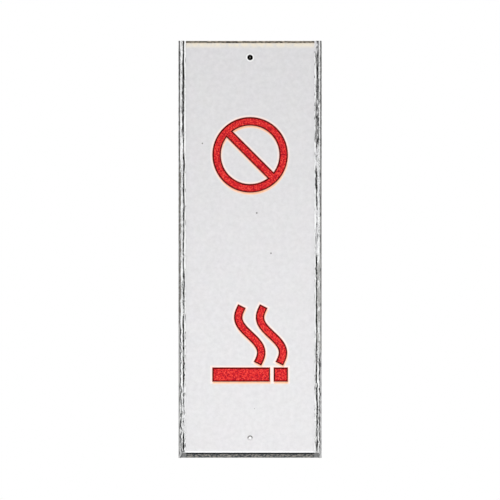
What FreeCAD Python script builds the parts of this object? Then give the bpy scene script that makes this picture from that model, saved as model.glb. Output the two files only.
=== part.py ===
import FreeCAD, Part
import math
import os
import Sketcher

# No smoking sign: a white plate clasped by a folded metal backing, with a hanging eyelet.
# X runs across the sign, Z up it, and the front faces -Y. The origin is the middle of the flat back.

SIZES = (
    ("sign_width", 103.0, "across the backing, over both side walls"),
    ("sign_height", 300.0, "length of the folded backing"),
    ("sheet_thickness", 0.6, "gauge of the backing's metal"),
    ("bend_radius", 0.4, "inside radius of the two bends at the back"),
    ("fold_radius", 1.2, "inside radius where each side wall turns over the plate"),
    ("roll_flat", 0.2, "level metal past each fold, where the lip joins the channel"),
    ("crown_flat", 0.1, "least level metal under the lip's crown, between that and the slope"),
    ("land_flat", 0.2, "least level metal between the slope and the lip's free edge"),
    ("lip_rise", 0.75, "height of the lip's crown above its pressed land"),
    ("lip_clearance", 0.06, "gap between the pressed land and the plate"),
    ("slope_run", 1.15, "mean width of the crimped slope from the crown down to the land"),
    ("run_spread", 0.45, "how far that width varies either way"),
    ("crimp_wander", 0.3, "how far the slope strays either way in its long waves"),
    ("crimp_ripple", 0.2, "how far it strays in its short waves"),
    ("spread_length", 17.0, "length of a wave of the slope's width"),
    ("wander_length", 47.0, "length of a long wave"),
    ("ripple_length", 13.0, "length of a short wave"),
    ("lip_foot_cut", 4.0, "how far above the bottom edge the lips are cut off"),
    ("plate_thickness", 2.0, "thickness of the face plate"),
    ("plate_side_gap", 0.5, "between the plate's edge and the start of the back bend"),
    ("top_inset", 1.6, "bare backing above the plate"),
    ("bottom_inset", 3.7, "bare backing below the plate"),
    ("plate_edge_round", 0.3, "rounding of the plate's front top and bottom edges"),
    ("upper_hole_drop", 12.0, "from the top edge down to the eyelet's centre"),
    ("lower_hole_rise", 14.2, "from the bottom edge up to the lower hole's centre"),
    ("lower_hole_diameter", 2.1, "screw hole"),
    ("hole_bevel", 0.8, "width of the bevel round the front mouth of the lower hole"),
    ("eyelet_bore", 1.8, "diameter of the blind bore behind the eyelet's head"),
    ("eyelet_wall", 0.4, "gauge of the eyelet's barrel and head"),
    ("eyelet_fit", 0.05, "gap between the barrel and its hole"),
    ("flange_overlap", 0.65, "how far the flange reaches past the barrel"),
    ("flange_thickness", 0.5, "thickness of the flange"),
    ("flange_round", 0.15, "rounding of the flange's rim and of the dimple's mouth"),
    ("dimple_radius", 0.7, "radius of the dimple in the middle of the eyelet's head"),
    ("dimple_depth", 0.3, "depth of that dimple"),
    ("flare_land", 0.15, "part of the backing's thickness left straight behind the flare"),
)

# Expressions that more than one piece shares, written once.
HALF_WIDTH = "sizes.sign_width / 2"
HALF_HEIGHT = "sizes.sign_height / 2"
PLATE_FACE = "(sizes.sheet_thickness + sizes.plate_thickness)"
LIP_CROWN = f"({PLATE_FACE} + sizes.lip_clearance + sizes.sheet_thickness + sizes.lip_rise)"
UPPER_HOLE = f"({HALF_HEIGHT} - sizes.upper_hole_drop)"
LOWER_HOLE = f"(sizes.lower_hole_rise - {HALF_HEIGHT})"
BORE_RADIUS = "sizes.eyelet_bore / 2"
BARREL_RADIUS = f"({BORE_RADIUS} + sizes.eyelet_wall)"
EYELET_HOLE = f"2 * ({BARREL_RADIUS} + sizes.eyelet_fit)"
FLARE = "(sizes.sheet_thickness - sizes.flare_land)"
ROLL = "(sizes.fold_radius + sizes.sheet_thickness + sizes.roll_flat)"

GOLDEN = (1 + math.sqrt(5)) / 2
POLES_PER_RIPPLE = 4
DEGREE = 3
NEAR = 1e-4


def make_sheet(doc):
    """Put every driving size in a sheet, one row each: name, value, meaning."""
    sheet = doc.addObject("Spreadsheet::Sheet", "sizes")
    for row, (name, value, meaning) in enumerate(SIZES, start=1):
        sheet.set(f"A{row}", name)
        sheet.set(f"B{row}", str(value))
        sheet.set(f"C{row}", meaning)
        sheet.setAlias(f"B{row}", name)
    doc.recompute()
    return sheet


def new_body(doc, name):
    body = doc.addObject("PartDesign::Body", name)
    body.Label = name
    return body


def new_sketch(body, name, role):
    """Start a sketch on one of the body's own origin planes."""
    sketch = body.newObject("Sketcher::SketchObject", name)
    plane = [feature for feature in body.Origin.OriginFeatures if feature.Role == role][0]
    sketch.AttachmentSupport = [(plane, "")]
    sketch.MapMode = "FlatFace"
    return sketch


def bind(sketch, constraint, label, text):
    """Add a named constraint whose value follows an expression."""
    index = sketch.addConstraint(constraint)
    sketch.renameConstraint(index, label)
    sketch.setExpression(f"Constraints.{label}", text)


def pin(sketch, geometry, point, across, along, label):
    """Hold one sketch point at a place given by two expressions."""
    x_now = sketch.evalExpression(across)
    y_now = sketch.evalExpression(along)
    bind(sketch, Sketcher.Constraint("DistanceX", -1, 1, geometry, point, x_now), f"{label}_x", across)
    bind(sketch, Sketcher.Constraint("DistanceY", -1, 1, geometry, point, y_now), f"{label}_y", along)


def draw_outline(sketch, corners):
    """Join the corners by straight lines and pin each one to its pair of expressions."""
    places = []
    for across, along in corners:
        places.append(FreeCAD.Vector(sketch.evalExpression(across), sketch.evalExpression(along), 0))
    count = len(places)
    for index in range(count):
        sketch.addGeometry(Part.LineSegment(places[index], places[(index + 1) % count]), False)
    for index in range(count):
        sketch.addConstraint(Sketcher.Constraint("Coincident", index, 2, (index + 1) % count, 1))
    for index, (across, along) in enumerate(corners):
        pin(sketch, index, 1, across, along, f"corner{index}")


def draw_circle(sketch, along, diameter, label):
    """Draw a circle on the sign's centre line, at a height and diameter given by expressions."""
    height_now = sketch.evalExpression(along)
    size_now = sketch.evalExpression(diameter)
    centre = FreeCAD.Vector(0, height_now, 0)
    index = sketch.addGeometry(Part.Circle(centre, FreeCAD.Vector(0, 0, 1), size_now / 2), False)
    sketch.addConstraint(Sketcher.Constraint("PointOnObject", index, 3, -2))
    bind(sketch, Sketcher.Constraint("DistanceY", -1, 1, index, 3, height_now), f"{label}_height", along)
    bind(sketch, Sketcher.Constraint("Diameter", index, size_now), f"{label}_diameter", diameter)


def edges_where(shape, test):
    return [f"Edge{index}" for index, edge in enumerate(shape.Edges, start=1) if test(edge)]


def is_circle(edge, radius, y):
    curve = edge.Curve
    if not isinstance(curve, Part.Circle):
        return False
    return abs(curve.Radius - radius) < NEAR and abs(curve.Center.y - y) < NEAR


def dress(doc, body, kind, name, edges, size):
    """Fillet or chamfer the named edges of the body's last feature."""
    before = body.Tip
    feature = body.newObject(f"PartDesign::{kind}", name)
    feature.Base = (before, edges)
    feature.setExpression("Radius" if kind == "Fillet" else "Size", size)
    doc.recompute()
    return feature


def cut_holes(doc, body, name):
    """Cut the upper and lower holes right through a body that lies in the sign's own frame."""
    sketch = new_sketch(body, f"{name}_centres", "XZ_Plane")
    draw_circle(sketch, UPPER_HOLE, EYELET_HOLE, "upper")
    draw_circle(sketch, LOWER_HOLE, "sizes.lower_hole_diameter", "lower")
    pocket = body.newObject("PartDesign::Pocket", name)
    pocket.Profile = sketch
    pocket.Type = "ThroughAll"
    pocket.SideType = "Symmetric"
    doc.recompute()
    return pocket


def make_channel(doc, sheet):
    """The flat back, its two bends, the side walls and the roll that turns over the plate."""
    body = new_body(doc, "channel")
    profile = new_sketch(body, "channel_section", "XY_Plane")
    inner = f"({HALF_WIDTH} - sizes.sheet_thickness)"
    roll = f"({HALF_WIDTH} - {ROLL})"
    under = f"({LIP_CROWN} - sizes.sheet_thickness)"
    right = [
        (HALF_WIDTH, "0"),
        (HALF_WIDTH, f"-{LIP_CROWN}"),
        (roll, f"-{LIP_CROWN}"),
        (roll, f"-{under}"),
        (inner, f"-{under}"),
        (inner, "-sizes.sheet_thickness"),
    ]
    left = [(f"-{across}", along) for across, along in reversed(right)]
    draw_outline(profile, right + left)
    pad = body.newObject("PartDesign::Pad", "channel_length")
    pad.Profile = profile
    pad.SideType = "Symmetric"
    pad.setExpression("Length", "sizes.sign_height")
    doc.recompute()
    half = sheet.sign_width / 2
    gauge = sheet.sheet_thickness
    crown = 2 * gauge + sheet.plate_thickness + sheet.lip_clearance + sheet.lip_rise

    def upright_edges(shape, x, y):
        def found(edge):
            middle = edge.CenterOfMass
            upright = edge.BoundBox.ZLength > sheet.sign_height - NEAR
            return upright and abs(abs(middle.x) - x) < NEAR and abs(middle.y + y) < NEAR

        return edges_where(shape, found)

    def round_edges(name, x, y, radius):
        dress(doc, body, "Fillet", name, upright_edges(body.Tip.Shape, x, y), radius)

    round_edges("outer_bends", half, 0, "sizes.bend_radius + sizes.sheet_thickness")
    round_edges("inner_bends", half - gauge, gauge, "sizes.bend_radius")
    round_edges("outer_folds", half, crown, "sizes.fold_radius + sizes.sheet_thickness")
    round_edges("inner_folds", half - gauge, crown - gauge, "sizes.fold_radius")
    pocket = cut_holes(doc, body, "screw_holes")
    radius = sheet.eyelet_bore / 2 + sheet.eyelet_wall + sheet.eyelet_fit
    mouth = edges_where(pocket.Shape, lambda edge: is_circle(edge, radius, 0))
    dress(doc, body, "Chamfer", "eyelet_countersink", mouth, FLARE)
    return body


def drift(height, length, phase):
    """An uneven wave between -1 and 1, made of two waves that never fall into step."""
    first = math.sin(math.tau * height / length + phase)
    second = math.sin(math.tau * height / (GOLDEN * length) + 2 * phase)
    return (first + second) / 2


def slope_rails(sheet, first_slope, side, low, high):
    """Where the slope starts and ends along the lip: height, and both distances from the side wall."""
    reach = sheet.crimp_wander + sheet.crimp_ripple
    middle = first_slope + reach + (sheet.slope_run + sheet.run_spread) / 2
    steps = math.ceil(POLES_PER_RIPPLE * (high - low) / sheet.ripple_length)
    rails = []
    for step in range(steps + 1):
        height = low + (high - low) * step / steps
        wander = sheet.crimp_wander * drift(height, sheet.wander_length, side)
        ripple = sheet.crimp_ripple * drift(height, sheet.ripple_length, 2 * side)
        run = sheet.slope_run + sheet.run_spread * drift(height, sheet.spread_length, 3 * side)
        strayed = middle + wander + ripple
        rails.append((height, strayed - run / 2, strayed + run / 2))
    return rails


def slope_surface(rows):
    """A smooth surface through rows of poles that run along the lip, from the crown to the land."""
    across = len(rows) - 1
    spans = len(rows[0]) - DEGREE
    surface = Part.BSplineSurface()
    surface.buildFromPolesMultsKnots(
        rows,
        [across + 1, across + 1],
        [DEGREE + 1] + [1] * (spans - 1) + [DEGREE + 1],
        [0, 1],
        list(range(spans + 1)),
        False,
        False,
        across,
        DEGREE,
    )
    return surface


def flat_strip(first, second):
    """The flat face between two edges that run the same way."""
    ends = [Part.makeLine(first.Vertexes[i].Point, second.Vertexes[i].Point) for i in (0, 1)]
    return Part.Face(Part.Wire(Part.sortEdges([first, second] + ends)[0]))


def end_cap(faces, height):
    """The flat face that closes the lip at one end, bounded by the ends of all its other faces."""
    edges = []
    for face in faces:
        for edge in face.Edges:
            box = edge.BoundBox
            if abs(box.ZMin - height) < NEAR and abs(box.ZMax - height) < NEAR:
                edges.append(edge)
    return Part.Face(Part.Wire(Part.sortEdges(edges)[0]))


def make_lip(doc, sheet, name, side):
    """One lip, from the roll at its side wall to its free edge: crown, uneven crimped slope, land.

    It stops short of the sign's bottom edge, where only the roll goes on.
    """
    gauge = sheet.sheet_thickness
    high = sheet.sign_height / 2
    low = sheet.lip_foot_cut - high
    crown = 2 * gauge + sheet.plate_thickness + sheet.lip_clearance + sheet.lip_rise
    roll = sheet.fold_radius + gauge + sheet.roll_flat
    lag = gauge / 2
    rails = slope_rails(sheet, roll + lag + sheet.crown_flat, side, low, high)
    waves = 2 * (sheet.crimp_wander + sheet.crimp_ripple)
    width = roll + lag + sheet.crown_flat + waves + sheet.slope_run + sheet.run_spread + sheet.land_flat

    def place(inward, depth, height):
        return FreeCAD.Vector(side * (sheet.sign_width / 2 - inward), -depth, height)

    def skin(depth, inset, eased):
        """The root line, the free edge and the three faces between them, on one side of the metal."""
        moved = [(height, start - inset, end - inset) for height, start, end in rails]
        foot = depth - sheet.lip_rise
        rows = [[place(start, depth, height) for height, start, end in moved]]
        if eased:
            rows.append([place((start + end) / 2, depth, height) for height, start, end in moved])
            rows.append([place((start + end) / 2, foot, height) for height, start, end in moved])
        rows.append([place(end, foot, height) for height, start, end in moved])
        slope = slope_surface(rows)
        root = Part.makeLine(place(roll, depth, low), place(roll, depth, high))
        free = Part.makeLine(place(width, foot, low), place(width, foot, high))
        crown_face = flat_strip(root, slope.uIso(0).toShape())
        land_face = flat_strip(slope.uIso(1).toShape(), free)
        return root, free, [crown_face, slope.toShape(), land_face]

    outer_root, outer_free, outer = skin(crown, 0, eased=True)
    inner_root, inner_free, inner = skin(crown - gauge, lag, eased=False)
    faces = outer + inner + [flat_strip(outer_root, inner_root), flat_strip(outer_free, inner_free)]
    faces += [end_cap(faces, low), end_cap(faces, high)]
    shell = Part.makeShell(faces)
    shell.sewShape()
    lip = doc.addObject("Part::Feature", name)
    lip.Shape = Part.makeSolid(shell)
    return lip


def make_backing(doc, sheet):
    """The whole folded sheet: channel and both lips, joined where the lips begin to turn."""
    channel = make_channel(doc, sheet)
    left = make_lip(doc, sheet, "left_lip", -1)
    right = make_lip(doc, sheet, "right_lip", 1)
    backing = doc.addObject("Part::MultiFuse", "backing")
    backing.Label = "backing"
    backing.Shapes = [channel, left, right]
    doc.recompute()
    return backing


def make_face_plate(doc, sheet):
    """The white plate: flat, with eased front edges at the top and bottom, and both holes."""
    body = new_body(doc, "face_plate")
    side = f"({HALF_WIDTH} - sizes.sheet_thickness - sizes.bend_radius - sizes.plate_side_gap)"
    top = f"({HALF_HEIGHT} - sizes.top_inset)"
    bottom = f"(sizes.bottom_inset - {HALF_HEIGHT})"
    outline = new_sketch(body, "plate_outline", "XZ_Plane")
    draw_outline(outline, [(f"-{side}", bottom), (side, bottom), (side, top), (f"-{side}", top)])
    pad = body.newObject("PartDesign::Pad", "plate_pad")
    pad.Profile = outline
    pad.setExpression("Length", "sizes.plate_thickness")
    doc.recompute()
    front = -sheet.plate_thickness

    def is_front_end(edge):
        box = edge.BoundBox
        level = box.XLength > sheet.sign_width / 2
        return level and abs(box.YMin - front) < NEAR and abs(box.YMax - front) < NEAR

    dress(doc, body, "Fillet", "eased_ends", edges_where(pad.Shape, is_front_end), "sizes.plate_edge_round")
    pocket = cut_holes(doc, body, "plate_holes")
    radius = sheet.lower_hole_diameter / 2
    mouth = edges_where(pocket.Shape, lambda edge: is_circle(edge, radius, front))
    dress(doc, body, "Chamfer", "bevelled_mouth", mouth, "sizes.hole_bevel")
    body.setExpression(".Placement.Base.y", "-sizes.sheet_thickness")
    return body


def make_eyelet(doc, sheet):
    """The closed eyelet, turned about its blind bore: dimpled head in front, flare sunk in the back."""
    body = new_body(doc, "hanging_eyelet")
    profile = new_sketch(body, "eyelet_profile", "XZ_Plane")
    flange = f"({BARREL_RADIUS} + sizes.flange_overlap)"
    flange_top = f"({PLATE_FACE} + sizes.flange_thickness)"
    bore_end = f"({flange_top} - sizes.dimple_depth - sizes.eyelet_wall)"
    corners = [
        (f"{BORE_RADIUS} + {FLARE}", "0"),
        (f"{BARREL_RADIUS} + {FLARE}", "0"),
        (BARREL_RADIUS, FLARE),
        (BARREL_RADIUS, PLATE_FACE),
        (flange, PLATE_FACE),
        (flange, flange_top),
        ("sizes.dimple_radius", flange_top),
        ("0", f"{flange_top} - sizes.dimple_depth"),
        ("0", bore_end),
        (BORE_RADIUS, bore_end),
        (BORE_RADIUS, FLARE),
    ]
    draw_outline(profile, corners)
    turned = body.newObject("PartDesign::Revolution", "turned_eyelet")
    turned.Profile = profile
    turned.ReferenceAxis = (profile, ["V_Axis"])
    turned.Angle = 360
    doc.recompute()
    top = sheet.sheet_thickness + sheet.plate_thickness + sheet.flange_thickness

    def is_head_rim(edge):
        return isinstance(edge.Curve, Part.Circle) and abs(edge.Curve.Center.z - top) < NEAR

    rims = edges_where(turned.Shape, is_head_rim)
    dress(doc, body, "Fillet", "rounded_flange", rims, "sizes.flange_round")
    forwards = FreeCAD.Rotation(FreeCAD.Vector(1, 0, 0), 90)
    body.Placement = FreeCAD.Placement(FreeCAD.Vector(0, 0, 0), forwards)
    body.setExpression(".Placement.Base.z", UPPER_HOLE)
    return body


def check_document(doc, pieces):
    """Stop if any object failed or any piece is empty, invalid or not a single solid."""
    for item in doc.Objects:
        if "Invalid" in item.State or "Error" in item.State:
            raise RuntimeError(f"{item.Name} failed: {item.State}")
    for piece in pieces:
        shape = piece.Shape
        if shape.isNull() or not shape.isValid() or len(shape.Solids) != 1:
            raise RuntimeError(f"{piece.Label} has no single valid solid")


def main():
    doc = FreeCAD.newDocument("no_smoking_sign")
    sheet = make_sheet(doc)
    pieces = [make_backing(doc, sheet), make_face_plate(doc, sheet), make_eyelet(doc, sheet)]
    doc.recompute()
    check_document(doc, pieces)
    os.makedirs("parts", exist_ok=True)
    for piece in pieces:
        piece.Shape.exportStep(f"parts/{piece.Label}.step")
        box = piece.Shape.BoundBox
        extent = f"{box.XLength:.2f} x {box.YLength:.2f} x {box.ZLength:.2f}"
        print(f"{piece.Label}: {piece.Shape.Volume:.1f} mm3, {extent}")


main()
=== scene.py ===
"""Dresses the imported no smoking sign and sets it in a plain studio.

The sign is a white plate clasped in a folded backing of bright sheet, with a blackened eyelet near
its top and two plain red marks on its face: a ring with a slanted bar, and a cigarette with smoke.
All lengths named ..._MM are millimetres in the sign's own frame: x across, z up, and -y out of the
front.
"""

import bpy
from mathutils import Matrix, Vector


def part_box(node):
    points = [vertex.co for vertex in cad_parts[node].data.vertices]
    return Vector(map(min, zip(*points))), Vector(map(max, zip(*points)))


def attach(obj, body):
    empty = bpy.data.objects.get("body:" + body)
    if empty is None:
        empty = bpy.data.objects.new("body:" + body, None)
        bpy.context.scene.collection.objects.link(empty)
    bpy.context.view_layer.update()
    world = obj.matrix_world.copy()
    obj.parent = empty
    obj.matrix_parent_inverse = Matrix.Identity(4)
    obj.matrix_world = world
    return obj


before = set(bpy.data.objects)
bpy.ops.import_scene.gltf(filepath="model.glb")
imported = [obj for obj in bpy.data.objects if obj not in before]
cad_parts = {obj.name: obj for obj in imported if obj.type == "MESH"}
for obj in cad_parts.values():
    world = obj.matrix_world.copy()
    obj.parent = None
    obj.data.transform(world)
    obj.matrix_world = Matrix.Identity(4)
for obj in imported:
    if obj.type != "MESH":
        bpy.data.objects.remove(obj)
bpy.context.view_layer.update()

import math
from collections import namedtuple

import bmesh
import bpy
from mathutils import Vector
from mathutils.geometry import delaunay_2d_cdt

bl_info = {
    "name": "No Smoking Sign",
    "version": (1, 0, 0),
    "blender": (4, 5, 0),
    "location": "View3D > Sidebar > Sign",
    "description": "Finishes, print and studio of a no smoking sign in a folded metal backing",
    "category": "Object",
}

MM = 0.001
BODY = "root"

# Places on the CAD pieces
PLATE_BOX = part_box("face_plate")
BACKING_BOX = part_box("backing")
EYELET_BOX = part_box("hanging_eyelet")
PLATE_FACE = PLATE_BOX[0].y
PLATE_FOOT = PLATE_BOX[0].z
PLATE_HEAD = PLATE_BOX[1].z
SIGN_FOOT = BACKING_BOX[0].z
EYELET_HEIGHT = (EYELET_BOX[0].z + EYELET_BOX[1].z) / 2
SCREW_HOLE_HEIGHT_MM = -135.8
# The backing from its back forward: the flat back's front, where the side walls and the lips are
# taken to begin, and the lips' land on the plate.
SHEET_FRONT_MM = -0.6
WALL_BEGINS_MM = -0.8
LIP_BEGINS_MM = -1.2
LAND_MM = -3.3
# The backing from its middle outwards: the tray's corner, the lips' ridge and their outer fold.
TRAY_CORNER_MM = 45.6
RIDGE_MM = 48.4
FOLD_MM = 49.9

# How far the ends of each painted crease line and patch take to fade out, how wide a patch's soft edge
# is, and how far the crimping makes them wander.
STRETCH_FADE_MM = 6
PATCH_EDGE_MM = 0.2
CRIMP_WANDER_MM = 1.4
# Dark lines painted along the lips' creases as shade and dark reflections: side, lower and upper end,
# distance from the sign's middle, and width.
PAINTED_CREASE_LINES_MM = (
    (-1, 132, 160, 48.0, 0.9),
    (-1, 80, 142, 48.35, 1.6),
    (-1, 2, 72, 47.8, 0.55),
    (-1, -40, -12, 47.7, 0.6),
    (-1, -76, -46, 48.0, 1.1),
    (-1, -150, -74, 47.8, 0.8),
    (-1, -110, -52, 49.9, 0.6),
    (-1, -160, -104, 49.4, 0.8),
    (1, 118, 160, 48.8, 1.6),
    (1, 64, 126, 49.0, 1.2),
    (1, 60, 110, 47.1, 0.5),
    (1, 36, 64, 47.6, 0.7),
    (1, 4, 18, 48.3, 0.6),
    (1, -76, -2, 47.8, 0.8),
    (1, -160, -72, 50.0, 0.8),
    (1, -110, -72, 48.1, 0.5),
    (1, -148, -104, 48.5, 0.9),
)
# Grey, dark and white patches of painted reflection on the lips, where the metal is also made duller:
# side, lower and upper end, where they begin and end outwards, and their colour. Those that begin by the
# fold lie straight along it, and those there run on past the sign's edge. The others wander as the
# painted crease lines do.
BY_FOLD_MM = 49.3
PAST_FOLD_MM = 52.0
PAINTED_REFLECTIONS_MM = (
    (-1, -160, -52, 50.4, PAST_FOLD_MM, "#d2d2d0"),
    (-1, -58, 66, 49.6, PAST_FOLD_MM, "#86837e"),
    (-1, 58, 160, 50.4, PAST_FOLD_MM, "#484643"),
    (-1, 60, 160, 49.3, 50.3, "#ffffff"),
    (-1, 2, 74, 48.3, 49.1, "#f8f8fa"),
    (-1, -134, -96, 46.6, 48.4, "#f4f4f6"),
    (1, -78, 66, 50.4, PAST_FOLD_MM, "#bcbab6"),
    (1, 58, 160, 50.4, PAST_FOLD_MM, "#6e6c69"),
    (1, 60, 160, 49.4, 50.3, "#ffffff"),
    (1, 137, 160, 46.2, 48.2, "#f4f4f6"),
    (1, 74, 142, 47.2, 47.7, "#d0d0d0"),
    (1, 54, 78, 46.8, 49.2, "#f8f8fa"),
    (1, 20, 60, 48.4, 49.6, "#f8f8fa"),
    (1, -4, 34, 47.2, 49.4, "#f4f4f6"),
    (1, -76, -2, 48.2, 50.4, "#bebebc"),
    (1, -160, -72, 50.4, PAST_FOLD_MM, "#ececec"),
)

# Dark specks on the face, each with x, z and radius.
SPECKS_MM = ((-34.3, 76.2, 0.75), (4.8, 26.2, 0.95), (15.0, -2.8, 0.85), (3.2, -114.6, 0.35))
SPECK_CORE_MM = 0.1
# Round marks, each full up to its first radius and gone at its second: the white ring round the eyelet,
# the bevel of the screw hole, and the dimple in the eyelet's head.
EYELET_RING_MM = (2.8, 3.2)
BEVEL_MM = (1.9, 2.1)
DIMPLE_MM = (0.45, 0.75)

# The painted marks: degrees between an arc's points, the cigarette's thickness as a share of the line
# width, and the gap before its lit end and its smoke.
ARC_STEP = 5
CIGARETTE_SHARE = 1.7
MARK_GAP_MM = 3.0
# Where each curl of smoke starts across, its sway and its drift, as shares of half the mark's size.
SMOKE_STARTS = (0.2, 0.78)
SMOKE_SWAY = 0.19
SMOKE_DRIFT = 0.42
SMOKE_STEPS = 24
# The least divisor of a mitre, which keeps sharp corners from running far out.
SHARPEST_MITRE = 0.35
# Outline corners nearer to each other than this, in metres, become one.
JOIN_DISTANCE = 1e-7
# Slivers thinner than this, where outlines overlap, are cleared out of the paint.
SLIVER = 0.001 * MM

# The paint's layers. Each has its paint, how far it grows past the outlines, its top above the plate,
# its cover, and how far it is set aside and down, in mm.
Layer = namedtuple("Layer", "paint grow top cover aside down", defaults=(1.0, 0.0, 0.0))
GROUND, SHADOW, WASH, EDGE, RED = range(5)
FADE = "fade"
# How the sprayed layers thin out: share of the halo's width, or growth in mm, and the cover there.
HALO_FADES = ((1.0, 0.15), (0.88, 0.4), (0.78, 0.7), (0.68, 1.0))
SHADOW_FADES = ((0.6, 0.2), (0.35, 0.4), (0.1, 0.6), (-0.15, 0.8), (-0.4, 1.0))
FADE_STEP_MM = 0.004
GROUND_TOP_MM = 0.01
SHADOW_TOP_MM = 0.035
SHADOW_ASIDE_MM = 0.3
WASH_GROWTH_MM = 0.35
WASH_TOP_MM = 0.06
EDGE_GROWTH_MM = 0.12
EDGE_TOP_MM = 0.07
RED_TOP_MM = 0.1
RED_SHIFT_MM = 0.06

# The photograph is 500 pixels square and shows 0.72 mm of the sign in each.
MM_PER_PIXEL = 0.72
FRAME_PIXELS = 500
PICTURE_CENTRE_PX = (250.1, 249.35)

# Softboxes: where each stands and looks, its width, height and spread in degrees, and its power's name.
SOFTBOXES = (
    ("key_softbox", (-0.35, -1.5, 0.6), (0, 0, 0), 1.2, 0.7, 180, "key_power"),
    ("fill_softbox", (0.05, -0.5, -0.16), (0, 0, -0.17), 0.5, 0.12, 150, "fill_power"),
    ("back_softbox", (0.5, 1.5, 0.7), (0, 0, 0), 1.2, 0.8, 180, "key_power"),
)
# The floor's radius, and where it begins and ends to fade into the background, in metres.
FLOOR_RADIUS = 1.0
FLOOR_FADE = (0.15, 0.5)


def linear(hex_colour):
    """Turns an sRGB hex colour such as "#d9262b" into Blender's linear colour, with alpha 1."""
    channels = [int(hex_colour[i:i + 2], 16) / 255 for i in (1, 3, 5)]
    return tuple(c / 12.92 if c <= 0.04045 else ((c + 0.055) / 1.055) ** 2.4 for c in channels) + (1.0,)


class SignPrintSettings(bpy.types.PropertyGroup):
    """Sizes and colours of the two painted marks."""
    upper_middle: bpy.props.FloatVectorProperty(
        name="Ring", description="Middle of the ring and bar on the face",
        size=2, default=(0.0, 0.068), subtype="XYZ_LENGTH", unit="LENGTH")
    lower_middle: bpy.props.FloatVectorProperty(
        name="Cigarette", description="Middle of the cigarette and smoke on the face",
        size=2, default=(0.0, -0.068), subtype="XYZ_LENGTH", unit="LENGTH")
    mark_size: bpy.props.FloatProperty(
        name="Mark size", description="Width and height of each mark", default=0.054, unit="LENGTH")
    line_width: bpy.props.FloatProperty(
        name="Line width", description="Width of the ring, its bar and the smoke", default=0.0058,
        unit="LENGTH")
    edge_width: bpy.props.FloatProperty(
        name="Edge width", description="Width of the dark line just inside the marks' edges",
        default=0.0008, unit="LENGTH")
    halo_width: bpy.props.FloatProperty(
        name="Halo width", description="How far the sprayed white ground reaches round the marks",
        default=0.0018, unit="LENGTH")
    shadow_drop: bpy.props.FloatProperty(
        name="Shadow drop", description="How far the cream shadow is set below the marks",
        default=0.0014, unit="LENGTH")
    red: bpy.props.FloatVectorProperty(
        name="Red", description="The paint's body colour", subtype="COLOR", size=4,
        default=linear("#e2292d"))
    edge: bpy.props.FloatVectorProperty(
        name="Edge", description="The paint where it pooled along the edges", subtype="COLOR", size=4,
        default=linear("#4a0101"))
    halo: bpy.props.FloatVectorProperty(
        name="Halo", description="The sprayed white ground round the marks", subtype="COLOR", size=4,
        default=linear("#ffefe9"))
    shadow: bpy.props.FloatVectorProperty(
        name="Shadow", description="The sprayed cream shadow below the marks", subtype="COLOR", size=4,
        default=linear("#ffc292"))


class SignFinishSettings(bpy.types.PropertyGroup):
    """Colours of the three CAD pieces."""
    plate: bpy.props.FloatVectorProperty(
        name="Plate", description="The white plate", subtype="COLOR", size=4,
        default=linear("#e7e6e8"))
    sheet: bpy.props.FloatVectorProperty(
        name="Sheet", description="The bright sheet of the backing", subtype="COLOR", size=4,
        default=linear("#f6f7f7"))
    eyelet: bpy.props.FloatVectorProperty(
        name="Eyelet", description="The blackened eyelet", subtype="COLOR", size=4,
        default=linear("#010101"))


class SignStudioSettings(bpy.types.PropertyGroup):
    """The studio round the sign."""
    camera_distance: bpy.props.FloatProperty(
        name="Camera distance", description="From the wall face to the camera", default=3.0,
        unit="LENGTH")
    floor_drop: bpy.props.FloatProperty(
        name="Floor drop", description="From the sign's foot down to the floor", default=0.085,
        unit="LENGTH")
    ambient: bpy.props.FloatProperty(
        name="Ambient", description="Strength of the light from all round", default=0.468)
    key_power: bpy.props.FloatProperty(
        name="Key light", description="Power of each large softbox", default=7.1, subtype="POWER",
        unit="POWER")
    fill_power: bpy.props.FloatProperty(
        name="Fill light", description="Power of the small lower softbox", default=0.6, subtype="POWER",
        unit="POWER")
    floor: bpy.props.FloatVectorProperty(
        name="Floor", description="The pale floor", subtype="COLOR", size=4,
        default=linear("#f1f1f0"))


def add_node(tree, kind, inputs=None, **settings):
    """Adds a node with its settings, and gives its inputs their values or the outputs that feed them."""
    node = tree.nodes.new("ShaderNode" + kind)
    for name, value in settings.items():
        setattr(node, name, value)
    for key, value in (inputs or {}).items():
        if isinstance(value, bpy.types.NodeSocket):
            tree.links.new(value, node.inputs[key])
        else:
            node.inputs[key].default_value = value
    return node


def new_material(name, **shader_values):
    """A material with a Principled shader, whose constants are set on its sockets."""
    material = bpy.data.materials.new(name)
    material.use_nodes = True
    tree = material.node_tree
    tree.nodes.clear()
    values = {key.replace("_", " "): value for key, value in shader_values.items()}
    shader = add_node(tree, "BsdfPrincipled", values)
    add_node(tree, "OutputMaterial", {"Surface": shader.outputs[0]})
    return material, tree, shader


def per_mm(length_mm):
    """Noise scale whose features are about length_mm wide, for coordinates in metres."""
    return 1.0 / (length_mm * MM)


def lip_stretch(tree, parts, side, low_mm, high_mm):
    """A mask of one lip between two heights: 1 there, and fading to 0 over the last millimetres."""
    sideways = add_node(tree, "Math", {0: parts[0], 1: side}, operation="MULTIPLY")
    this_side = add_node(tree, "Math", {0: sideways.outputs[0], 1: 0.0}, operation="GREATER_THAN")
    this_lip = add_node(tree, "MapRange", {
        "Value": parts[1], "From Min": WALL_BEGINS_MM * MM, "From Max": LIP_BEGINS_MM * MM,
        "To Max": this_side.outputs[0]})
    middle = (low_mm + high_mm) / 2
    above_middle = add_node(tree, "Math", {0: parts[2], 1: middle * MM}, operation="SUBTRACT")
    span = add_node(tree, "Math", {0: above_middle.outputs[0]}, operation="ABSOLUTE")
    reach = (high_mm - low_mm) / 2
    along = add_node(tree, "MapRange", {
        "Value": span.outputs[0], "From Min": reach * MM, "From Max": (reach - STRETCH_FADE_MM) * MM,
        "To Max": this_lip.outputs[0]})
    return along.outputs[0]


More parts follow.
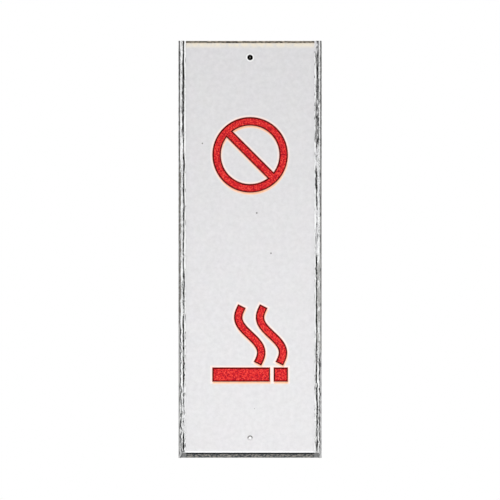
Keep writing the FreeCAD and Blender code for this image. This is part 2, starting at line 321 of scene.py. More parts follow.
def painted_reflections(tree, parts, from_middle, wandering, patchy, colour):
    """The lips' colour with the patches of painted reflection laid over it, and the patches' mask."""
    painted_and_dulled = 0.0
    for side, low, high, begin, end, reflection_colour in PAINTED_REFLECTIONS_MM:
        across = from_middle if begin >= BY_FOLD_MM else wandering
        begins = add_node(tree, "MapRange", {
            "Value": across, "From Min": begin * MM, "From Max": (begin + PATCH_EDGE_MM) * MM,
            "To Max": lip_stretch(tree, parts, side, low, high)})
        ends = add_node(tree, "MapRange", {
            "Value": across, "From Min": (end + PATCH_EDGE_MM) * MM, "From Max": end * MM,
            "To Max": patchy})
        reflection_patch = add_node(tree, "Math", {0: begins.outputs[0], 1: ends.outputs[0]}, operation="MULTIPLY")
        colour = add_node(tree, "Mix", {0: reflection_patch.outputs[0], 6: colour, 7: linear(reflection_colour)},
                          data_type="RGBA").outputs[2]
        painted_and_dulled = add_node(tree, "Math", {0: painted_and_dulled, 1: reflection_patch.outputs[0]}, operation="ADD").outputs[0]
    return colour, painted_and_dulled


def creases(tree, parts, wandering):
    """A mask of the dark lines painted along both lips' creases as shade and dark reflections."""
    creased = 0.0
    for side, low, high, crease, width in PAINTED_CREASE_LINES_MM:
        line = add_node(tree, "Math", {0: wandering, 1: crease * MM, 2: width * MM / 2},
                        operation="COMPARE")
        stretch = lip_stretch(tree, parts, side, low, high)
        creased = add_node(tree, "Math", {0: line.outputs[0], 1: stretch, 2: creased},
                           operation="MULTIPLY_ADD").outputs[0]
    return creased


def tray_shade_and_grain(tree, place, parts, from_middle):
    """Painted shade inside the tray: darkest under the plate's foot, paler in its corners, browner at
    its head.
    """
    mottled = add_node(tree, "Mapping", {"Vector": place, "Scale": (0.6, 1.0, 1.0)}).outputs[0]
    grain_noise = add_node(tree, "TexNoise", {"Vector": mottled, "Scale": per_mm(0.9), "Detail": 3.0})
    grain = add_node(tree, "MapRange", {"Value": grain_noise.outputs[0], "From Min": 0.4, "From Max": 0.6})
    painted_contact_shadow = add_node(tree, "MapRange", {
        "Value": parts[2], "From Min": PLATE_FOOT - 1.4 * MM, "From Max": PLATE_FOOT - 0.8 * MM},
        interpolation_type="SMOOTHSTEP")
    corner = add_node(tree, "MapRange", {
        "Value": from_middle, "From Min": TRAY_CORNER_MM * MM, "From Max": (TRAY_CORNER_MM + 1.0) * MM})
    # Mottled grey, painted dark as the shade inside the tray
    scale = add_node(tree, "Mix", {0: grain.outputs[0], 6: linear("#5a6064"), 7: linear("#b2aea8")},
                     data_type="RGBA")
    # A painted contact shadow just under the plate's foot, and paler corners
    for mask, colour in ((painted_contact_shadow, "#2b2e31"), (corner, "#a8a9a9")):
        scale = add_node(tree, "Mix", {0: mask.outputs[0], 6: scale.outputs[2], 7: linear(colour)},
                         data_type="RGBA")
    # Browner at the tray's head, likewise painted dark as shade
    upper_tray = add_node(tree, "Mix", {0: grain.outputs[0], 6: linear("#4f4841"), 7: linear("#cfc4b2")},
                    data_type="RGBA")
    at_head = add_node(tree, "Math", {0: parts[2], 1: 0.0}, operation="GREATER_THAN")
    return add_node(tree, "Mix", {0: at_head.outputs[0], 6: scale.outputs[2], 7: upper_tray.outputs[2]},
                    data_type="RGBA").outputs[2]


def crimped_normal(tree, place, parts, from_middle, dents, lines):
    """The sheet's bumps: broad crimps on the lips' slope, small dents along them, and rolling lines."""
    off_back = add_node(tree, "MapRange", {
        "Value": parts[1], "From Min": WALL_BEGINS_MM * MM, "From Max": LIP_BEGINS_MM * MM,
        "To Max": 0.25})
    off_land = add_node(tree, "MapRange", {
        "Value": parts[1], "From Min": LAND_MM * MM, "From Max": (LAND_MM - 0.15) * MM,
        "To Min": off_back.outputs[0], "To Max": 1.0})
    drawn_out = add_node(tree, "Mapping", {"Vector": place, "Scale": (1.0, 1.0, 0.6)}).outputs[0]
    crimps = add_node(tree, "TexNoise", {"Vector": drawn_out, "Scale": per_mm(5.0), "Detail": 1.0})
    twist = add_node(tree, "MapRange", {"Value": crimps.outputs[0], "From Min": 0.38, "From Max": 0.62,
                                        "To Min": -0.5, "To Max": 0.5})
    off_ridge = add_node(tree, "Math", {0: from_middle, 1: RIDGE_MM * MM}, operation="SUBTRACT")
    on_slope = add_node(tree, "Math", {0: off_ridge.outputs[0], 1: 0.0}, operation="MINIMUM")
    twisted = add_node(tree, "Math", {0: on_slope.outputs[0], 1: twist.outputs[0]}, operation="MULTIPLY")
    stretches = add_node(tree, "TexNoise", {"Vector": place, "Scale": per_mm(22), "Detail": 1.0})
    worked = add_node(tree, "MapRange", {"Value": stretches.outputs[0], "From Min": 0.38,
                                         "From Max": 0.62, "To Min": 0.1, "To Max": 1.1})
    swing = add_node(tree, "Math", {0: dents, 1: 0.5}, operation="SUBTRACT")
    dented = add_node(tree, "Math", {0: swing.outputs[0], 1: worked.outputs[0]}, operation="MULTIPLY")
    crimp_bump = add_node(tree, "Bump", {"Height": twisted.outputs[0], "Strength": off_land.outputs[0],
                                         "Distance": 1.0})
    dent_bump = add_node(tree, "Bump", {"Height": dented.outputs[0], "Strength": off_land.outputs[0],
                                        "Distance": 0.8 * MM, "Normal": crimp_bump.outputs[0]})
    return add_node(tree, "Bump", {"Height": lines, "Strength": 0.5, "Distance": 0.03 * MM,
                                   "Normal": dent_bump.outputs[0]}).outputs[0]


def rolled_sheet(settings):
    """Bright rolled steel sheet, folded and hand-crimped.

    Rolling polished it and left fine lines up the sheet, and the crimping iron left dents and creases,
    so the lips show a broken chain of black and white reflections. Part of that chain is painted into
    the colour: near black lines along the creases are painted shade and dark reflections, and grey, dark
    and white patches on the lips and along their outer folds are painted reflections, where the sheet is
    also made duller. Inside the tray the sheet is dull and painted dark grey as the shade it lies in,
    darkest as a painted contact shadow just under the plate's foot, and browner at the head. The rolling
    lines are drawn several times as coarse as they are, so that they show.
    """
    material, tree, shader = new_material("bright_rolled_sheet")
    place = add_node(tree, "TexCoord").outputs["Object"]
    parts = add_node(tree, "SeparateXYZ", {0: place}).outputs
    from_middle = add_node(tree, "Math", {0: parts[0]}, operation="ABSOLUTE").outputs[0]
    streaked = add_node(tree, "Mapping", {"Vector": place, "Scale": (1.0, 1.0, 0.1)}).outputs[0]
    lines = add_node(tree, "TexNoise", {"Vector": streaked, "Scale": per_mm(0.6),
                                        "Detail": 3.0}).outputs[0]
    stretched = add_node(tree, "Mapping", {"Vector": place, "Scale": (1.0, 1.0, 0.4)}).outputs[0]
    dents = add_node(tree, "TexNoise", {"Vector": stretched, "Scale": per_mm(1.7), "Detail": 3.0,
                                        "Roughness": 0.6}).outputs[0]
    wobble = add_node(tree, "TexNoise", {"Vector": place, "Scale": per_mm(4.0), "Detail": 2.0})
    shift = add_node(tree, "MapRange", {"Value": wobble.outputs[0], "To Min": -CRIMP_WANDER_MM * MM,
                                        "To Max": CRIMP_WANDER_MM * MM})
    wandering = add_node(tree, "Math", {0: from_middle, 1: shift.outputs[0]},
                         operation="ADD").outputs[0]

    # The lips: bright sheet, then patches of painted reflection, then painted shade and dark reflections
    # in the creases
    shade = add_node(tree, "MapRange", {"Value": lines, "From Min": 0.3, "From Max": 0.5,
                                        "To Min": 0.82, "To Max": 1.0})
    bright = add_node(tree, "Mix", {0: 1.0, 6: settings.sheet, 7: shade.outputs[0]},
                      data_type="RGBA", blend_type="MULTIPLY")
    patchy = add_node(tree, "MapRange", {"Value": dents, "From Min": 0.42, "From Max": 0.52,
                                         "To Min": 0.1, "To Max": 1.0})
    lip_colour, painted_and_dulled = painted_reflections(tree, parts, from_middle, wandering, patchy.outputs[0],
                                 bright.outputs[2])
    streaky = add_node(tree, "MapRange", {"Value": lines, "From Min": 0.4, "From Max": 0.6,
                                          "To Min": 1.0, "To Max": 0.6})
    outside_patches = add_node(tree, "Math", {0: streaky.outputs[0], 1: painted_and_dulled}, operation="SUBTRACT",
                         use_clamp=True)
    painted_crease_dark = add_node(tree, "Math", {0: creases(tree, parts, wandering), 1: outside_patches.outputs[0]},
                    operation="MULTIPLY", use_clamp=True)
    # Near black, painted as shade and dark reflections in the creases
    lip_colour = add_node(tree, "Mix", {0: painted_crease_dark.outputs[0], 6: lip_colour, 7: linear("#101011")},
                          data_type="RGBA").outputs[2]

    # The tray's inside is dull and painted dark as shade, and the flat back behind it is bright again
    tray = add_node(tree, "MapRange", {"Value": parts[1], "From Min": (SHEET_FRONT_MM - 0.4) * MM,
                                       "From Max": (SHEET_FRONT_MM - 0.1) * MM})
    open_back = add_node(tree, "MapRange", {"Value": parts[1], "From Min": SHEET_FRONT_MM / 2 * MM,
                                            "From Max": SHEET_FRONT_MM / 3 * MM, "To Min": 1.0,
                                            "To Max": 0.0})
    dull = add_node(tree, "Math", {0: tray.outputs[0], 1: open_back.outputs[0]},
                    operation="MULTIPLY").outputs[0]
    colour = add_node(tree, "Mix", {0: dull, 6: lip_colour,
                                    7: tray_shade_and_grain(tree, place, parts, from_middle)}, data_type="RGBA")
    tree.links.new(colour.outputs[2], shader.inputs["Base Color"])
    # Where the reflections are painted, the metal is also made duller
    metal = add_node(tree, "MapRange", {"Value": painted_and_dulled, "To Min": 1.0, "To Max": 0.3})
    tree.links.new(metal.outputs[0], shader.inputs["Metallic"])
    rubbed = add_node(tree, "MapRange", {"Value": lines, "From Min": 0.35, "From Max": 0.7,
                                         "To Min": 0.08, "To Max": 0.2})
    roll = add_node(tree, "MapRange", {"Value": from_middle, "From Min": FOLD_MM * MM,
                                       "From Max": (FOLD_MM + 0.6) * MM, "To Max": 0.16})
    polish = add_node(tree, "Math", {0: rubbed.outputs[0], 1: roll.outputs[0]}, operation="ADD")
    worn = add_node(tree, "Mix", {0: painted_and_dulled, 2: polish.outputs[0], 3: 0.7}).outputs[0]
    rough = add_node(tree, "Mix", {0: dull, 2: worn, 3: 0.6})
    tree.links.new(rough.outputs[0], shader.inputs["Roughness"])
    normal = crimped_normal(tree, place, parts, from_middle, dents, lines)
    tree.links.new(normal, shader.inputs["Normal"])
    return material


def within(tree, place, centre, inner_mm, outer_mm):
    """A mask round a point of the front: 1 up to the inner distance and 0 beyond the outer one."""
    apart = add_node(tree, "VectorMath", {0: place, 1: centre}, operation="SUBTRACT")
    flat = add_node(tree, "VectorMath", {0: apart.outputs[0], 1: (1, 0, 1)}, operation="MULTIPLY")
    distance = add_node(tree, "VectorMath", {0: flat.outputs[0]}, operation="LENGTH")
    mask = add_node(tree, "MapRange", {"Value": distance.outputs["Value"], "From Min": outer_mm * MM,
                                       "From Max": inner_mm * MM}, interpolation_type="SMOOTHSTEP")
    return mask.outputs[0]


def white_plate(settings):
    """Rigid white PVC sheet, pressed between polished rollers, so it has a soft gloss.

    Years on a wall have mottled it very slightly, in patches of a few millimetres. It has yellowed
    under the head of the tray, the ring round the eyelet has stayed white, and flies have left a few
    specks. A painted highlight runs along its sawn foot, and painted shade lies in the upper side of the
    screw hole's bevel.
    """
    material, tree, shader = new_material("pressed_white_pvc", Roughness=0.38, IOR=1.53)
    place = add_node(tree, "TexCoord").outputs["Object"]
    height = add_node(tree, "SeparateXYZ", {0: place}).outputs[2]
    patches = add_node(tree, "TexNoise", {"Vector": place, "Scale": per_mm(3.2), "Detail": 3.0,
                                          "Roughness": 0.65})
    tint = add_node(tree, "TexNoise", {"Vector": place, "Scale": per_mm(11.0), "Detail": 1.0})
    mottle = add_node(tree, "MapRange", {"Value": patches.outputs[0], "From Min": 0.3, "From Max": 0.7,
                                         "To Min": 0.915, "To Max": 1.005})
    tinted = add_node(tree, "Mix", {0: 0.05, 6: settings.plate, 7: tint.outputs[1]}, data_type="RGBA",
                      blend_type="SOFT_LIGHT")
    face = add_node(tree, "Mix", {0: 1.0, 6: tinted.outputs[2], 7: mottle.outputs[0]}, data_type="RGBA",
                    blend_type="MULTIPLY").outputs[2]
    head = add_node(tree, "MapRange", {
        "Value": height, "From Min": PLATE_HEAD - 4.5 * MM, "From Max": PLATE_HEAD - 1.0 * MM},
        interpolation_type="SMOOTHSTEP")
    uneven = add_node(tree, "MapRange", {"Value": patches.outputs[0], "From Min": 0.25,
                                         "From Max": 0.55})
    yellowed = add_node(tree, "Math", {0: head.outputs[0], 1: uneven.outputs[0]}, operation="MULTIPLY")
    # A painted highlight along the plate's foot edge
    painted_foot_highlight = add_node(tree, "MapRange", {"Value": height, "From Min": PLATE_FOOT + 1.4 * MM,
                                            "From Max": PLATE_FOOT + 1.0 * MM})
    eyelet_ring = within(tree, place, (0, 0, EYELET_HEIGHT), *EYELET_RING_MM)
    bevel = within(tree, place, (0, 0, SCREW_HOLE_HEIGHT_MM * MM), *BEVEL_MM)
    # Painted shade on the upper side of the screw hole's bevel
    upper_side = add_node(tree, "MapRange", {
        "Value": height, "From Min": (SCREW_HOLE_HEIGHT_MM - 0.7) * MM,
        "From Max": (SCREW_HOLE_HEIGHT_MM + 0.6) * MM})
    painted_bevel_shade = add_node(tree, "Math", {0: bevel, 1: upper_side.outputs[0]}, operation="MULTIPLY")
    # Yellowing, specks, the painted foot highlight and the painted shade in the bevel
    wear_and_painted_light = [(yellowed.outputs[0], "#f7eddb"), (painted_foot_highlight.outputs[0], "#fdfeff"),
            (eyelet_ring, "#ffffff"), (painted_bevel_shade.outputs[0], "#8e8d8c")]
    wear_and_painted_light += [(within(tree, place, (x * MM, 0, z * MM), SPECK_CORE_MM, radius), "#3a3634")
             for x, z, radius in SPECKS_MM]
    for mask, colour in wear_and_painted_light:
        face = add_node(tree, "Mix", {0: mask, 6: face, 7: linear(colour)}, data_type="RGBA").outputs[2]
    tree.links.new(face, shader.inputs["Base Color"])
    peel = add_node(tree, "TexNoise", {"Vector": place, "Scale": per_mm(1.2), "Detail": 2.0})
    bump = add_node(tree, "Bump", {"Height": peel.outputs[0], "Strength": 0.25, "Distance": 0.02 * MM})
    tree.links.new(bump.outputs[0], shader.inputs["Normal"])
    return material


def black_eyelet(settings):
    """Brass eyelet, blackened and waxed: near black all over, and grey in patches in its head's dimple.
    """
    material, tree, shader = new_material("blackened_brass", Roughness=0.32, Metallic=1.0)
    place = add_node(tree, "TexCoord").outputs["Object"]
    dimple = within(tree, place, (0, 0, EYELET_HEIGHT), *DIMPLE_MM)
    middle_noise = add_node(tree, "TexNoise", {"Vector": place, "Scale": per_mm(0.5), "Detail": 3.0})
    worn = add_node(tree, "MapRange", {"Value": middle_noise.outputs[0], "From Min": 0.3, "From Max": 0.6,
                                       "To Min": 0.5})
    grey_middle = add_node(tree, "Math", {0: dimple, 1: worn.outputs[0]}, operation="MULTIPLY")
    colour = add_node(tree, "Mix", {0: grey_middle.outputs[0], 6: settings.eyelet, 7: linear("#96918a")},
                      data_type="RGBA")
    tree.links.new(colour.outputs[2], shader.inputs["Base Color"])
    return material


def sprayed_ground(name, colour, beneath):
    """Thin matt paint sprayed on before the enamel, so it fades into the plate within a millimetre.

    The fade comes from the mesh: 1 is full paint, and 0 would be what lies beneath.
    """
    material, tree, shader = new_material(name, Roughness=0.5, IOR=1.45)
    fade = add_node(tree, "Attribute", attribute_name=FADE).outputs["Fac"]
    place = add_node(tree, "TexCoord").outputs["Object"]
    spatter = add_node(tree, "TexNoise", {"Vector": place, "Scale": per_mm(1.5), "Detail": 2.0})
    uneven = add_node(tree, "MapRange", {"Value": spatter.outputs[0], "From Min": 0.3, "From Max": 0.7,
                                         "To Min": 0.8, "To Max": 1.1})
    cover = add_node(tree, "Math", {0: fade, 1: uneven.outputs[0]}, operation="MULTIPLY", use_clamp=True)
    mixed = add_node(tree, "Mix", {0: cover.outputs[0], 6: beneath, 7: colour}, data_type="RGBA")
    tree.links.new(mixed.outputs[2], shader.inputs["Base Color"])
    return material


def enamel(name, colour, deep, light, speck_mm):
    """Signwriter's enamel, dabbed through a stencil with a worn brush.

    The dabs left the coat uneven, so it is speckled with darker and lighter grains, and its soft
    gloss has dulled. The grains are drawn about twice as coarse as they are, so that they show.
    """
    material, tree, shader = new_material(name, Roughness=0.45, IOR=1.45, Specular_IOR_Level=0.08)
    place = add_node(tree, "TexCoord").outputs["Object"]
    dabs = add_node(tree, "TexNoise", {"Vector": place, "Scale": per_mm(speck_mm), "Detail": 3.0,
                                       "Roughness": 0.65})
    darker = add_node(tree, "MapRange", {"Value": dabs.outputs[0], "From Min": 0.5, "From Max": 0.62})
    first = add_node(tree, "Mix", {0: darker.outputs[0], 6: colour, 7: deep}, data_type="RGBA")
    lighter = add_node(tree, "MapRange", {"Value": dabs.outputs[0], "From Min": 0.47, "From Max": 0.37})
    grained = add_node(tree, "Mix", {0: lighter.outputs[0], 6: first.outputs[2], 7: light},
                       data_type="RGBA")
    tree.links.new(grained.outputs[2], shader.inputs["Base Color"])
    bump = add_node(tree, "Bump", {"Height": dabs.outputs[0], "Strength": 0.4, "Distance": 0.03 * MM})
    tree.links.new(bump.outputs[0], shader.inputs["Normal"])
    return material


def arc(radius, begin, end):
    """Points every few degrees along an arc about the middle, between two angles in degrees."""
    steps = round((end - begin) / ARC_STEP)
    angles = [math.radians(begin + (end - begin) * step / steps) for step in range(steps + 1)]
    return [(radius * math.cos(angle), radius * math.sin(angle)) for angle in angles]


def brush_line(line, width):
    """The outline of a line of points drawn so wide, and cut square at both ends."""
    left, right = [], []
    for i, point in enumerate(line):
        before, after = line[max(i - 1, 0)], line[min(i + 1, len(line) - 1)]
        along = (Vector(after) - Vector(before)).normalized()
        aside = Vector((-along.y, along.x)) * width / 2
        left.append(Vector(point) + aside)
        right.append(Vector(point) - aside)
    return left + right[::-1]


def ring_and_bar(size, line):
    """The outlines of a ring crossed by a bar that slants down to the right, in mm from its middle."""
    radius = (size - line) / 2
    reach = radius * math.sqrt(0.5)
    return [
        brush_line(arc(radius, 80, 280), line),
        brush_line(arc(radius, -100, 100), line),
        brush_line([(-reach, reach), (reach, -reach)], line),
    ]


def cigarette_and_smoke(size, line):
    """The outlines of a level cigarette, its lit end and two curls of smoke, in mm from the middle."""
    half = size / 2
    thick = line * CIGARETTE_SHARE
    level = thick / 2 - half
    lit = half - thick
    outlines = [
        brush_line([(-half, level), (lit - MARK_GAP_MM, level)], thick),
        brush_line([(lit, level), (half, level)], thick),
    ]
    foot = thick + MARK_GAP_MM - half
    for start in SMOKE_STARTS:
        curl = []
        for step in range(SMOKE_STEPS + 1):
            rise = step / SMOKE_STEPS
            sway = SMOKE_SWAY * math.sin(math.tau * rise) - SMOKE_DRIFT * rise
            curl.append(((start + sway) * half, foot + (half - foot) * rise))
        outlines.append(brush_line(curl, line))
    return outlines


def fattened(outline, by):
    """The outline moved outwards by a distance, or inwards where it is negative, corner by corner."""
    area = sum(a[0] * b[1] - b[0] * a[1] for a, b in zip(outline, outline[1:] + outline[:1]))
    ring = outline if area > 0 else outline[::-1]
    moved = []
    for i, corner in enumerate(ring):
        before = (Vector(corner) - Vector(ring[i - 1])).normalized()
        after = (Vector(ring[(i + 1) % len(ring)]) - Vector(corner)).normalized()
        out_before = Vector((before.y, -before.x))
        out_after = Vector((after.y, -after.x))
        mitre = (out_before + out_after) / max(1.0 + out_before.dot(out_after), SHARPEST_MITRE)
        moved.append(Vector(corner) + mitre * by)
    return moved


def add_layer(mesh, outlines, layer, middle):
    """Adds one layer of paint: the union of the outlines, from the plate up to the layer's own top."""
    points, faces = [], []
    for outline in outlines:
        start = len(points)
        for corner in fattened(outline, layer.grow):
            x = middle[0] + corner.x * MM + layer.aside * MM
            z = middle[1] + corner.y * MM - layer.down * MM
            points.append(Vector((x, z)))
        faces.append(list(range(start, len(points))))
    corners, _, triangles, _, _, origins = delaunay_2d_cdt(points, [], faces, 1, JOIN_DISTANCE)
    kept = [triangle for triangle, outlines_over in zip(triangles, origins) if outlines_over]
    top = PLATE_FACE - layer.top * MM
    tops = {i: mesh.verts.new((corners[i].x, top, corners[i].y)) for i in {i for t in kept for i in t}}
    cap = [mesh.faces.new([tops[i] for i in triangle]) for triangle in kept]
    bmesh.ops.recalc_face_normals(mesh, faces=cap)
    if cap[0].normal.y > 0:
        bmesh.ops.reverse_faces(mesh, faces=cap)
    rim = [edge.link_loops[0] for face in cap for edge in face.edges if len(edge.link_faces) == 1]
    rim_corners = dict.fromkeys(loop.vert for loop in rim)
    feet = {vert: mesh.verts.new((vert.co.x, PLATE_FACE, vert.co.z)) for vert in rim_corners}
    sides = []
    for loop in rim:
        begin, end = loop.vert, loop.link_loop_next.vert
        sides.append(mesh.faces.new((end, begin, feet[begin], feet[end])))
    fade = mesh.faces.layers.float.get(FADE)
    for face in cap + sides:
        face.material_index = layer.paint
        face[fade] = layer.cover


def paint_layers(settings):
    """The layers of a mark from the plate up: white ground, cream shadow, bled wash, dark edge, red."""
    halo = settings.halo_width / MM
    drop = settings.shadow_drop / MM
    ground = [Layer(GROUND, halo * share, GROUND_TOP_MM + FADE_STEP_MM * step, cover)
              for step, (share, cover) in enumerate(HALO_FADES)]
    shadow = [Layer(SHADOW, grow, SHADOW_TOP_MM + FADE_STEP_MM * step, cover, SHADOW_ASIDE_MM, drop)
              for step, (grow, cover) in enumerate(SHADOW_FADES)]
    return ground + shadow + [
        Layer(WASH, WASH_GROWTH_MM, WASH_TOP_MM),
        Layer(EDGE, EDGE_GROWTH_MM, EDGE_TOP_MM),
        Layer(RED, -settings.edge_width / MM, RED_TOP_MM, aside=RED_SHIFT_MM, down=RED_SHIFT_MM),
    ]


def painted_mark(name, outlines, middle, settings, paints):
    """One mark as a single piece of thin paint on the plate."""
    mesh = bmesh.new()
    mesh.faces.layers.float.new(FADE)
    for layer in paint_layers(settings):
        add_layer(mesh, outlines, layer, middle)
    bmesh.ops.dissolve_degenerate(mesh, edges=mesh.edges[:], dist=SLIVER)
    data = bpy.data.meshes.new(name)
    mesh.to_mesh(data)
    mesh.free()
    piece = bpy.data.objects.new(name, data)
    bpy.context.scene.collection.objects.link(piece)
    for paint in paints:
        data.materials.append(paint)
    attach(piece, BODY)


def dress(node, material):
    """Gives a CAD piece its finish through its own material slot."""
    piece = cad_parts[node]
    piece.data.materials.clear()
    piece.data.materials.append(material)


class SIGN_OT_finish_backing(bpy.types.Operator):
    """Finishes the folded backing as bright rolled sheet"""
    bl_idname = "sign.finish_backing"
    bl_label = "Finish Backing"

    def execute(self, context):
        dress("backing", rolled_sheet(context.scene.sign_finish))
        return {"FINISHED"}


class SIGN_OT_finish_plate(bpy.types.Operator):
    """Finishes the face plate as white PVC sheet"""
    bl_idname = "sign.finish_plate"
    bl_label = "Finish Plate"

    def execute(self, context):
        dress("face_plate", white_plate(context.scene.sign_finish))
        return {"FINISHED"}


class SIGN_OT_finish_eyelet(bpy.types.Operator):
    """Finishes the hanging eyelet as blackened brass"""
    bl_idname = "sign.finish_eyelet"
    bl_label = "Finish Eyelet"

    def execute(self, context):
        dress("hanging_eyelet", black_eyelet(context.scene.sign_finish))
        return {"FINISHED"}


class SIGN_OT_paint_marks(bpy.types.Operator):
    """Paints the two plain red marks on the plate"""
    bl_idname = "sign.paint_marks"
    bl_label = "Paint Marks"

    def execute(self, context):
        settings = context.scene.sign_print
        plate = context.scene.sign_finish.plate
        paints = [
            sprayed_ground("sprayed_white_ground", settings.halo, plate),
            sprayed_ground("sprayed_cream_shadow", settings.shadow, settings.halo),
            sprayed_ground("bled_red_wash", linear("#f09a8c"), settings.halo),
            enamel("pooled_maroon_enamel", settings.edge, linear("#3c0101"), linear("#780502"), 2.4),
            enamel("red_stencil_enamel", settings.red, linear("#9c1028"), linear("#f8584a"), 0.8),
        ]
        size, line = settings.mark_size / MM, settings.line_width / MM
        ring = ring_and_bar(size, line)
        cigarette = cigarette_and_smoke(size, line)
        painted_mark("ring_and_bar", ring, settings.upper_middle, settings, paints)
        painted_mark("cigarette_and_smoke", cigarette, settings.lower_middle, settings, paints)
        return {"FINISHED"}


def softbox(name, place, target, width, height, spread, power):
    """A plain area lamp that looks at a point of the sign and isn't seen itself."""
    data = bpy.data.lights.new(name, "AREA")
    data.shape = "RECTANGLE"
    data.size = width
    data.size_y = height
    data.energy = power
    data.spread = math.radians(spread)
    lamp = bpy.data.objects.new(name, data)
    lamp.location = place
    lamp.rotation_euler = (Vector(target) - Vector(place)).to_track_quat("-Z", "Y").to_euler()
    lamp.visible_camera = False
    lamp.visible_glossy = False
    bpy.context.scene.collection.objects.link(lamp)


def studio_world(ambient):
    """White for the camera and behind glass, a soft grey light all round, and for metal a bright
    studio with a white front and back and dark side walls."""
    world = bpy.data.worlds.new("studio")
    world.use_nodes = True
    tree = world.node_tree
    tree.nodes.clear()
    rays = add_node(tree, "LightPath").outputs
    seen = add_node(tree, "Math", {0: rays["Is Camera Ray"], 1: rays["Is Transmission Ray"]},
                    operation="MAXIMUM")
    way = add_node(tree, "SeparateXYZ", {0: add_node(tree, "TexCoord").outputs["Generated"]}).outputs
    off_axis = add_node(tree, "Math", {0: way[0]}, operation="ABSOLUTE")
    sideways = add_node(tree, "MapRange", {
        "Value": off_axis.outputs[0], "From Min": 0.3, "From Max": 0.48},
        interpolation_type="SMOOTHSTEP")
    not_behind = add_node(tree, "MapRange", {
        "Value": way[1], "From Min": 0.3, "From Max": 0.7, "To Min": 1.0, "To Max": 0.2},
        interpolation_type="SMOOTHSTEP")
    side_wall = add_node(tree, "Math", {0: sideways.outputs[0], 1: not_behind.outputs[0]},
                         operation="MULTIPLY")
    white = add_node(tree, "MapRange", {
        "Value": way[1], "From Max": 0.5, "To Min": 1.1, "To Max": 0.72})
    mirrored = add_node(tree, "Mix", {0: side_wall.outputs[0], 2: white.outputs[0], 3: 0.015})
    light = add_node(tree, "Mix", {0: rays["Is Glossy Ray"], 2: ambient, 3: mirrored.outputs[0]})
    strength = add_node(tree, "Mix", {0: seen.outputs[0], 2: light.outputs[0], 3: 1.0})
    background = add_node(tree, "Background", {"Color": (1, 1, 1, 1), "Strength": strength.outputs[0]})
    add_node(tree, "OutputWorld", {"Surface": background.outputs[0]})
    bpy.context.scene.world = world


def pale_floor(settings):
    """A round pale floor that fades to the white of the background well away from the sign."""
    mesh = bmesh.new()
    bmesh.ops.create_circle(mesh, cap_ends=True, segments=96, radius=FLOOR_RADIUS)
    data = bpy.data.meshes.new("floor")
    mesh.to_mesh(data)
    mesh.free()
    floor = bpy.data.objects.new("floor", data)
    floor.location = (0, 0, SIGN_FOOT - settings.floor_drop)
    bpy.context.scene.collection.objects.link(floor)
    material, tree, shader = new_material("pale_studio_floor", Roughness=0.8)
    shader.inputs["Base Color"].default_value = settings.floor
    place = add_node(tree, "TexCoord").outputs["Object"]
    away = add_node(tree, "VectorMath", {0: place}, operation="LENGTH")
    fade = add_node(tree, "MapRange", {
        "Value": away.outputs["Value"], "From Min": FLOOR_FADE[0], "From Max": FLOOR_FADE[1]},
        interpolation_type="SMOOTHSTEP")
    seen = add_node(tree, "LightPath").outputs["Is Camera Ray"]
    camera_fade = add_node(tree, "Math", {0: fade.outputs[0], 1: seen}, operation="MULTIPLY")
    white = add_node(tree, "Emission", {"Color": (1, 1, 1, 1), "Strength": 1.0})
    mixed = add_node(tree, "MixShader", {0: camera_fade.outputs[0], 1: shader.outputs[0],
                                         2: white.outputs[0]})
    output = next(n for n in tree.nodes if n.type == "OUTPUT_MATERIAL")
    tree.links.new(mixed.outputs[0], output.inputs["Surface"])
    data.materials.append(material)


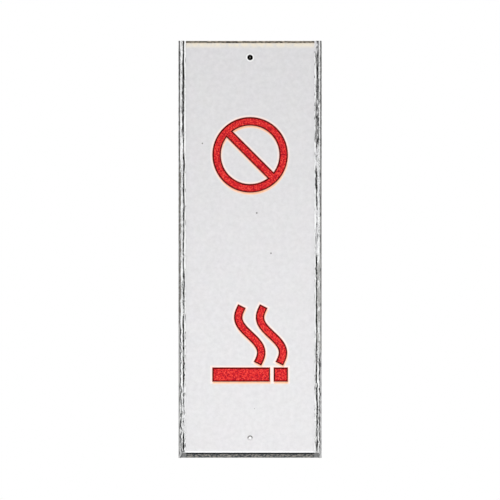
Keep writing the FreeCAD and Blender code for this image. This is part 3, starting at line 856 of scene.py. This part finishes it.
def straight_camera(distance):
    """Looks straight at the sign from far off, with the sign where the photograph has it."""
    data = bpy.data.cameras.new("camera")
    frame_size = FRAME_PIXELS * MM_PER_PIXEL * MM
    data.lens = data.sensor_width * distance / frame_size
    camera = bpy.data.objects.new("camera", data)
    across = (FRAME_PIXELS / 2 - PICTURE_CENTRE_PX[0]) * MM_PER_PIXEL * MM
    up = (PICTURE_CENTRE_PX[1] - FRAME_PIXELS / 2) * MM_PER_PIXEL * MM
    camera.location = (across, -distance, up)
    camera.rotation_euler = (math.radians(90), 0, 0)
    bpy.context.scene.collection.objects.link(camera)
    bpy.context.scene.camera = camera


class SIGN_OT_set_stage(bpy.types.Operator):
    """Sets the floor, the lamps, the world and the camera"""
    bl_idname = "sign.set_stage"
    bl_label = "Set Stage"

    def execute(self, context):
        settings = context.scene.sign_studio
        context.scene.view_settings.view_transform = "Standard"
        studio_world(settings.ambient)
        pale_floor(settings)
        for name, place, target, width, height, spread, power in SOFTBOXES:
            softbox(name, place, target, width, height, spread, getattr(settings, power))
        straight_camera(settings.camera_distance)
        return {"FINISHED"}


class SIGN_PT_panel(bpy.types.Panel):
    """Lists the steps that dress the sign"""
    bl_label = "No Smoking Sign"
    bl_idname = "SIGN_PT_panel"
    bl_space_type = "VIEW_3D"
    bl_region_type = "UI"
    bl_category = "Sign"

    def draw(self, context):
        for operator in OPERATORS:
            self.layout.operator(operator.bl_idname)
        for group in ("sign_finish", "sign_print", "sign_studio"):
            settings = getattr(context.scene, group)
            box = self.layout.box()
            for name in settings.__annotations__:
                box.prop(settings, name)


GROUPS = {
    "sign_finish": SignFinishSettings,
    "sign_print": SignPrintSettings,
    "sign_studio": SignStudioSettings,
}
OPERATORS = (
    SIGN_OT_set_stage,
    SIGN_OT_finish_backing,
    SIGN_OT_finish_plate,
    SIGN_OT_finish_eyelet,
    SIGN_OT_paint_marks,
)


def register():
    for name, group in GROUPS.items():
        bpy.utils.register_class(group)
        setattr(bpy.types.Scene, name, bpy.props.PointerProperty(type=group))
    for operator in OPERATORS:
        bpy.utils.register_class(operator)
    bpy.utils.register_class(SIGN_PT_panel)


def unregister():
    bpy.utils.unregister_class(SIGN_PT_panel)
    for operator in reversed(OPERATORS):
        bpy.utils.unregister_class(operator)
    for name, group in GROUPS.items():
        delattr(bpy.types.Scene, name)
        bpy.utils.unregister_class(group)


def main():
    register()
    bpy.ops.sign.set_stage()
    bpy.ops.sign.finish_backing()
    bpy.ops.sign.finish_plate()
    bpy.ops.sign.finish_eyelet()
    bpy.ops.sign.paint_marks()


if __name__ == "__main__":
    main()
